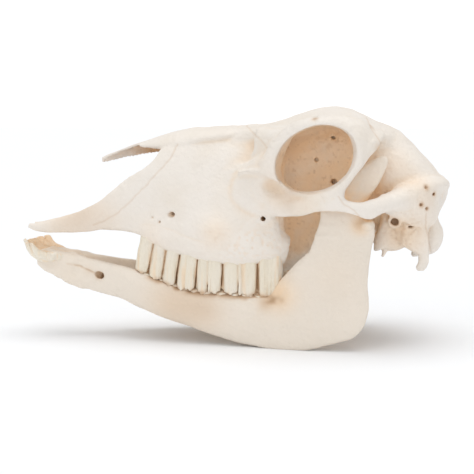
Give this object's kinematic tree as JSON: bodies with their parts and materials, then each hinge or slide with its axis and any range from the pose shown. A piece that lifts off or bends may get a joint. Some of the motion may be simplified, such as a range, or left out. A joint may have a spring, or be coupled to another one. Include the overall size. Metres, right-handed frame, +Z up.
{
  "type": "sheep skull",
  "caption": "Life-size skull of a young hornless sheep with its lower jaw in place, cleaned as a display and study specimen; bones part along their sutures.",
  "frame": {"origin": "on the floor under the middle of the skull's bounding box", "axes": "+X from the muzzle to the nape, +Y to the animal's right, +Z up"},
  "size_m": [0.261, 0.1242, 0.1404],
  "materials": {
    "bone": "matt, dry cleaned bone",
    "jaw_bone": "matt, dry cleaned bone"
  },
  "bodies": {
    "root": {"braincase": "bone", "maxilla_left": "bone", "maxilla_right": "bone", "incisive_left": "bone", "incisive_right": "bone", "nasal_left": "bone", "nasal_right": "bone", "zygomatic_left": "bone", "zygomatic_right": "bone", "mandible_left": "jaw_bone", "mandible_right": "jaw_bone"}
  },
  "joints": []
}
